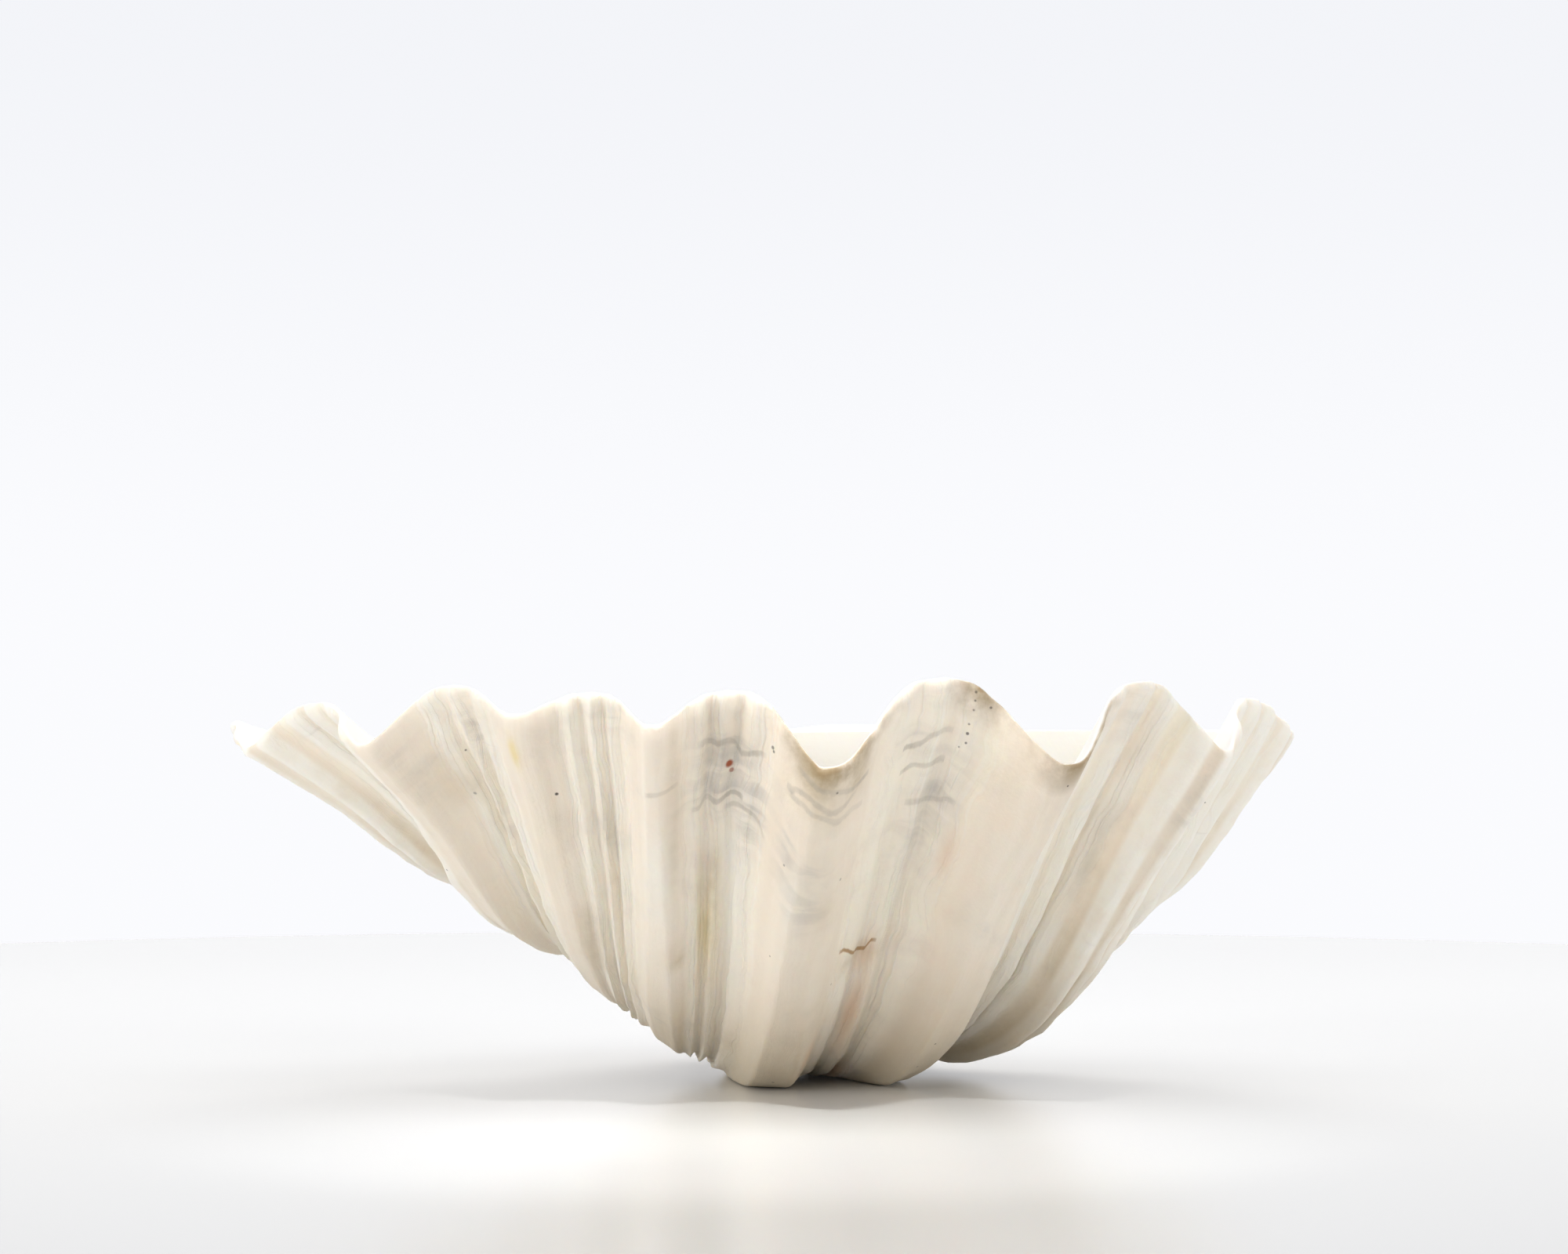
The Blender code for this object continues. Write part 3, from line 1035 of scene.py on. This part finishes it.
shell = bpy.data.materials.new("shell")
shell.use_nodes = True
tree = shell.node_tree
in_space = place_node(tree, "ShaderNodeTexCoord", {}).outputs["Object"]
on_shell = place_node(tree, "ShaderNodeUVMap", {}, uv_map="growth").outputs["UV"]
drift = place_node(
    tree, "ShaderNodeTexNoise", {"Vector": in_space, "Scale": DRIFT_SCALE, "Detail": 3.0}
)
wavering = place_node(
    tree,
    "ShaderNodeVectorMath",
    {0: drift.outputs["Color"], 1: DRIFT_REACH, 2: on_shell},
    operation="MULTIPLY_ADD",
).outputs["Vector"]
streaks = grain(tree, wavering, STREAK_SCALE, detail=5.0)
cords = grain(tree, wavering, CORD_SCALE, distortion=0.3)
lines = grain(tree, wavering, LINE_SCALE, detail=4.0, distortion=0.6)
clouds = grain(tree, in_space, CLOUD_SCALE, detail=4.0)
patches = grain(tree, in_space, PATCH_SCALE, detail=5.0, roughness=0.6)
pores = grain(tree, in_space, PORE_SCALE)
print("nodes for the patterns:", len(tree.nodes))

# %% [markdown]
# ## Ribs, grooves and clouds
#
# The colour is painted in layers, from the ground up. First the grooves are painted paler than
# the ribs, with thin white cords in them: painted light that offsets the shade in the grooves.
# Then broad grey patches and tan clouds lie over both, so faint that they are only noticed where
# they are missing.

# %% Ground colour
FAINT = 0.16

groove = attribute_of(tree, "groove")
# painted light: the grooves are painted paler than the ribs, and whiter in cords, to offset
# their shade
groove_light_and_streaks = plus(tree, groove, ranged(tree, streaks, 0.35, 0.7, 0.0, 0.45))
colour = blended(tree, groove_light_and_streaks, RIB_CHALK, LIT_GROOVE_CHALK)
in_groove = ranged(tree, groove, 0.0, 1.0, 0.12, 0.7)
groove_light_cords = times(tree, ranged(tree, cords, 0.54, 0.68), in_groove)
colour = blended(tree, groove_light_cords, colour, HIGHLIGHT_WHITE)
colour = blended(tree, ranged(tree, patches, 0.5, 0.75, 0.0, FAINT), colour, GREY)
colour = blended(tree, ranged(tree, clouds, 0.5, 0.8, 0.0, FAINT), colour, TAN)
print("nodes with the ground colour:", len(tree.nodes))

# %% [markdown]
# ## Riblets
#
# The gaps between the riblets are painted darker and olive, as painted shade, more of it the
# older the shell is there. The growth map gives the age. On the two flanks the riblets get a
# painted highlight on top and painted shade in the gap, in broken patches. Near the foot the
# ribs are painted darker and tanner: partly painted shade under the shell, partly tan staining.

# %% Riblet colour
GAP_SHADE_SHARES = (0.34, 0.05)
FLANK_SHADE_SHARE = 0.30
FOOT_HEIGHT = 0.042
FOOT_SHADE_AND_STAIN = 0.60

age_here = part_of(tree, on_shell, "Y")
height_here = part_of(tree, in_space, "Z")
on_riblet = ranged(tree, attribute_of(tree, "riblet"), 0.1, 0.6)
flank = times(tree, attribute_of(tree, "flank"), ranged(tree, patches, 0.3, 0.6, 0.35, 1.0))
between = times(tree, rest_of(tree, on_riblet), larger(tree, groove, flank))
# painted shade: the gaps between the riblets are painted darker olive
groove_gap_shade = ranged(tree, age_here, 0.45, 0.82, *GAP_SHADE_SHARES)
flank_gap_shade = times(tree, flank, ranged(tree, age_here, 0.8, 0.97, FLANK_SHADE_SHARE, 0.0))
riblet_gap_shade = times(tree, between, larger(tree, groove_gap_shade, flank_gap_shade))
colour = blended(tree, riblet_gap_shade, colour, GAP_SHADE_OLIVE)
# painted highlight on the tops of the riblets on the flanks
colour = blended(tree, times(tree, on_riblet, flank), colour, HIGHLIGHT_WHITE)
# darker and tanner near the foot: partly painted shade under the shell, partly tan stain
near_foot = ranged(tree, height_here, 0.0, FOOT_HEIGHT, FOOT_SHADE_AND_STAIN, 0.0)
foot_shade_and_tan = times(tree, near_foot, ranged(tree, groove, 0.0, 1.0, 1.0, 0.4))
colour = blended(tree, foot_shade_and_tan, colour, TAN)
print("nodes with the riblets:", len(tree.nodes))

# %% [markdown]
# ## Stains
#
# The marks come next. Their edges were smooth where they were stored, and a real stain is
# patchy, so the same patches break them up. Grey stains also follow the growth lines. The white
# marks are painted highlights, and the brown at the rim is painted shade along its edge, with
# some brown stain.

# %% Stain colour
LINE_SHADE = 0.18

line_shade = ranged(tree, patches, 0.45, 0.7, 0.0, LINE_SHADE)
faint_lines = times(tree, ranged(tree, lines, 0.60, 0.72), line_shade)
colour = blended(tree, faint_lines, colour, GREY)
broken = ranged(tree, patches, 0.3, 0.65, 0.35, 1.0)
lined = ranged(tree, lines, 0.42, 0.60, 0.3, 1.0)
# the white marks are painted highlights; the tan marks are stains
for name, tint in (("painted_highlight", HIGHLIGHT_WHITE), ("tan", TAN)):
    colour = blended(tree, times(tree, attribute_of(tree, name), broken), colour, tint)
grey_share = times(tree, times(tree, attribute_of(tree, "grey"), broken), lined)
colour = blended(tree, grey_share, colour, GREY)
for name, tint in (("rose", ROSE), ("yellow", YELLOW)):
    colour = blended(tree, attribute_of(tree, name), colour, tint)
# painted shade along the rim edge, with some brown stain
spotty = ranged(tree, patches, 0.35, 0.6, 0.1, 0.9)
rim_shade_share = times(tree, attribute_of(tree, "rim_shade_and_stain"), spotty)
colour = blended(tree, rim_shade_share, colour, RIM_SHADE_BROWN)
print("nodes with the stains:", len(tree.nodes))

# %% [markdown]
# ## Traced lines and specks
#
# A traced line is drawn where a point's own age is close to the age of the line. That keeps
# it thin and sharp, which a number stored at each point couldn't do. The noise makes it
# ragged. A speck is a small ball round its place, and the shell takes its colour inside.

# %% Line and speck colour
LINE_LOOKS = ((0.0030, 0.6), (0.0032, 0.65), (0.0030, 0.5), (0.0020, 0.85))
LINE_RAGGEDNESS = 4
LINE_CORE = 0.3
SPECK_CORE = 0.4
CRACK_LAYER = 3

for k, (thickness, darkness) in enumerate(LINE_LOOKS):
    apart = calculated(tree, "SUBTRACT", age_here, attribute_of(tree, f"line_age_{k}"))
    uneven = calculated(tree, "SUBTRACT", patches, 0.5)
    ragged = times(tree, uneven, thickness * LINE_RAGGEDNESS)
    apart = calculated(tree, "ABSOLUTE", plus(tree, apart, ragged))
    on_line = ranged(tree, apart, thickness * LINE_CORE, thickness, darkness, 0.0)
    share = times(tree, on_line, attribute_of(tree, f"line_strength_{k}"))
    if k == CRACK_LAYER:
        colour = blended(tree, share, colour, CRACK)
    else:
        colour = blended(tree, times(tree, share, broken), colour, LINE_DARK)

for spots, tint in ((SPECKS, SPECK), (RED_SPOT, RUST)):
    for spot, radius, strength in specks_at(spots, shell_tree):
        ends = {0: in_space, 1: spot}
        far = place_node(tree, "ShaderNodeVectorMath", ends, operation="DISTANCE")
        far = far.outputs["Value"]
        share = ranged(tree, far, radius * SPECK_CORE, radius, strength, 0.0)
        colour = blended(tree, share, colour, tint)
print("nodes with the lines and specks:", len(tree.nodes))

# %% [markdown]
# ## The inside, the shine and the bump
# Inside and outside are one material, because they are one shell. The attribute that says how
# far through the wall a point is blends the one into the other over the round rim. The hollow is
# painted darker towards its floor: painted shade. The
# hollow is darker towards its floor, where dust lies and light is lost.
#
# The same patterns also make the outside rough in places and give it a fine bump. A shell
# lets a little light in, so a thin layer under its surface scatters it.

# %% Inside, shine and bump
CHINA_SHADE_HEIGHTS = (0.02, 0.095)
ROUGH = (0.5, 0.68)
CHINA_SHINE = 0.22
STREAK_BUMP = 0.7
LINE_BUMP = 0.30
CORD_BUMP = 0.45
PORE_BUMP = 0.25
INSIDE_BUMP = 0.15
BUMP_DISTANCE = 0.0007
BUMP_STRENGTH = 0.8
SCATTERED = 0.35
SCATTER_COLOURS = (1.0, 0.75, 0.5)
SCATTER_DEPTH = 0.0014
REFLECTED = 0.35

surface = tree.nodes["Principled BSDF"]
inside = attribute_of(tree, "inside")
# painted shade: the inside is darker towards the floor of the hollow
china_with_painted_shade = blended(tree, ranged(tree, height_here, *CHINA_SHADE_HEIGHTS), SHADED_CHINA, CHINA)
colour = blended(tree, inside, colour, china_with_painted_shade)
tree.links.new(colour, surface.inputs["Base Color"])

rough = ranged(tree, patches, 0.3, 0.7, *ROUGH)
rough = calculated(tree, "SUBTRACT", rough, times(tree, inside, CHINA_SHINE))
tree.links.new(rough, surface.inputs["Roughness"])

height = plus(tree, times(tree, streaks, STREAK_BUMP), times(tree, lines, LINE_BUMP))
cord_bump = times(tree, groove, ranged(tree, cords, 0.45, 0.70, 0.0, CORD_BUMP))
height = plus(tree, height, cord_bump)
height = plus(tree, height, times(tree, pores, PORE_BUMP))
outer_share = plus(tree, times(tree, rest_of(tree, inside), 1 - INSIDE_BUMP), INSIDE_BUMP)
bump = place_node(
    tree,
    "ShaderNodeBump",
    {
        "Height": times(tree, height, outer_share),
        "Distance": BUMP_DISTANCE,
        "Strength": BUMP_STRENGTH,
    },
)
tree.links.new(bump.outputs["Normal"], surface.inputs["Normal"])

surface.inputs["Subsurface Weight"].default_value = SCATTERED
surface.inputs["Subsurface Radius"].default_value = SCATTER_COLOURS
surface.inputs["Subsurface Scale"].default_value = SCATTER_DEPTH
surface.inputs["Specular IOR Level"].default_value = REFLECTED
print("nodes in the material:", len(tree.nodes))

# %% [markdown]
# ## Naming the piece
#
# The frame has to know which body the piece moves with, which plain solid it stands for,
# and which material slot it fills.

# %% Name the piece
valve_data.materials.append(shell)
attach(valve, "root")
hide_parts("valve")
print("materials:", [m.name for m in valve_data.materials])

# %% [markdown]
# ## Floor
#
# The real shell stands on a smooth pale table, with a soft shine. A large round disc is
# enough: its far edge is the horizon of the picture. It isn't part of the shell, so it is
# handed to the stage.

# %% Floor
FLOOR_RADIUS = 0.66
FLOOR_SIDES = 96
FLOOR_LEVEL = -0.0002
FLOOR_COLOUR = (0.70, 0.695, 0.68, 1.0)
FLOOR_ROUGHNESS = 0.22


def make_floor():
    mesh = bmesh.new()
    bmesh.ops.create_circle(mesh, cap_ends=True, segments=FLOOR_SIDES, radius=FLOOR_RADIUS)
    bmesh.ops.translate(mesh, verts=mesh.verts[:], vec=(0.0, 0.0, FLOOR_LEVEL))
    data = bpy.data.meshes.new("floor")
    mesh.to_mesh(data)
    mesh.free()
    material = bpy.data.materials.new("floor_pale")
    material.use_nodes = True
    surface = material.node_tree.nodes["Principled BSDF"]
    surface.inputs["Base Color"].default_value = FLOOR_COLOUR
    surface.inputs["Roughness"].default_value = FLOOR_ROUGHNESS
    data.materials.append(material)
    made = bpy.data.objects.new("floor", data)
    bpy.context.scene.collection.objects.link(made)
    return made


floor = make_floor()
print("floor, in metres across:", 2 * FLOOR_RADIUS)

# %% [markdown]
# ## Background
#
# A bright white background is the main light: it shines through the thin rim and leaves
# the front soft. Here the world is that background. It is brightest behind the shell, a
# little bluer up high, and dimmer behind the camera.

# %% World
ROOM = (0.46, 0.45, 0.44, 1.0)
BACKDROP_LOW = (0.96, 0.965, 0.99, 1.0)
BACKDROP_HIGH = (0.90, 0.91, 0.945, 1.0)
BACKDROP_TURN = 0.7
BACKDROP_RISE = 0.13


def make_world():
    """White all round, dimmer behind the camera."""
    world = bpy.data.worlds.new("studio")
    world.use_nodes = True
    nodes = world.node_tree
    direction = place_node(nodes, "ShaderNodeTexCoord", {}).outputs["Generated"]
    behind = ranged(nodes, part_of(nodes, direction, "Y"), -BACKDROP_TURN, BACKDROP_TURN)
    up = ranged(nodes, part_of(nodes, direction, "Z"), 0.0, BACKDROP_RISE)
    backdrop = blended(nodes, up, BACKDROP_LOW, BACKDROP_HIGH)
    seen = blended(nodes, behind, ROOM, backdrop)
    nodes.links.new(seen, nodes.nodes["Background"].inputs["Color"])
    return world


bpy.context.scene.world = make_world()
print("world:", bpy.context.scene.world.name)

# %% [markdown]
# ## Lights
#
# Area lights do the rest, because their shadows are soft. One overhead and one high behind
# brighten the table. One on each side shows the ribs, and one in front and above shows the
# rim. One low behind the camera keeps the foot from going dark. Two narrow ones lift the
# far wall of the hollow and the spot of table in front. A narrow spread makes a lamp much
# stronger where it points, so those have little power.
#
# The Standard view keeps whites white. The default view would turn them grey.

# %% Lights
# Name, place, aim, size in metres, power in watts, spread in degrees
LIGHTS = (
    ("top_light", (0.0, -0.12, 1.15), (0.0, 0.0, 0.0), (0.9, 0.6), 2.8, 180.0),
    ("back_light", (0.0, 1.1, 0.8), (0.0, 0.45, 0.0), (1.8, 0.8), 2.7, 40.0),
    ("left_light", (-1.05, -0.55, 0.30), (0.0, 0.0, 0.05), (0.35, 0.35), 0.52, 60.0),
    ("right_light", (1.05, -0.45, 0.30), (0.0, 0.0, 0.05), (0.35, 0.35), 0.27, 60.0),
    ("front_light", (0.0, -1.0, 0.75), (0.0, -0.12, 0.0), (0.4, 0.3), 0.23, 60.0),
    ("low_light", (0.0, -1.6, 0.15), (0.0, 0.0, 0.04), (1.4, 0.25), 0.25, 60.0),
    ("inside_light", (0.04, -0.6, 1.1), (0.04, 0.08, 0.09), (0.05, 0.05), 0.012, 14.0),
    ("table_light", (0.0, -0.5, 0.9), (0.0, -0.14, 0.0), (0.05, 0.05), 0.09, 18.0),
)


def make_light(name, spot, aim, size, power, spread):
    data = bpy.data.lights.new(name, "AREA")
    data.shape = "RECTANGLE"
    data.size, data.size_y = size
    data.energy = power
    data.spread = math.radians(spread)
    lamp = bpy.data.objects.new(name, data)
    lamp.location = spot
    lamp.rotation_euler = (Vector(aim) - Vector(spot)).to_track_quat("-Z", "Y").to_euler()
    bpy.context.scene.collection.objects.link(lamp)


for light in LIGHTS:
    make_light(*light)
bpy.context.scene.view_settings.view_transform = "Standard"
print("lights:", len(LIGHTS))
